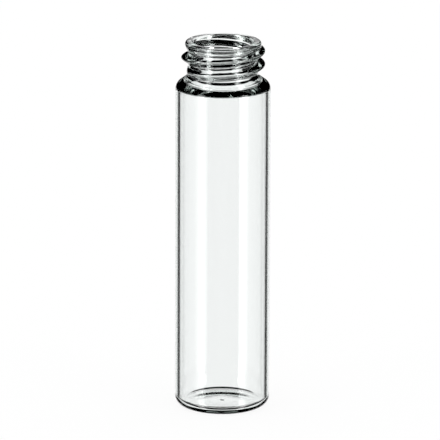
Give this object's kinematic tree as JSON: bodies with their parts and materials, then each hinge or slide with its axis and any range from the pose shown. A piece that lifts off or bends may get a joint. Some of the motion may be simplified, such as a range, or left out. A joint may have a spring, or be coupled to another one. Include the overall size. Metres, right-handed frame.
{
  "type": "glass sample vial",
  "caption": "Clear round glass sample vial with a screw-thread neck, sloped shoulder and open mouth; no cap.",
  "frame": {"origin": "middle of the ring that the vial stands on, on its axis", "axes": "+Z along the vial's axis, from the base up through the mouth; +X passes through the thread's upper crest"},
  "size_m": [0.0225, 0.0224, 0.0887],
  "materials": {
    "glass": "clear, fire-polished"
  },
  "bodies": {
    "root": {"vial": "glass"}
  },
  "joints": []
}
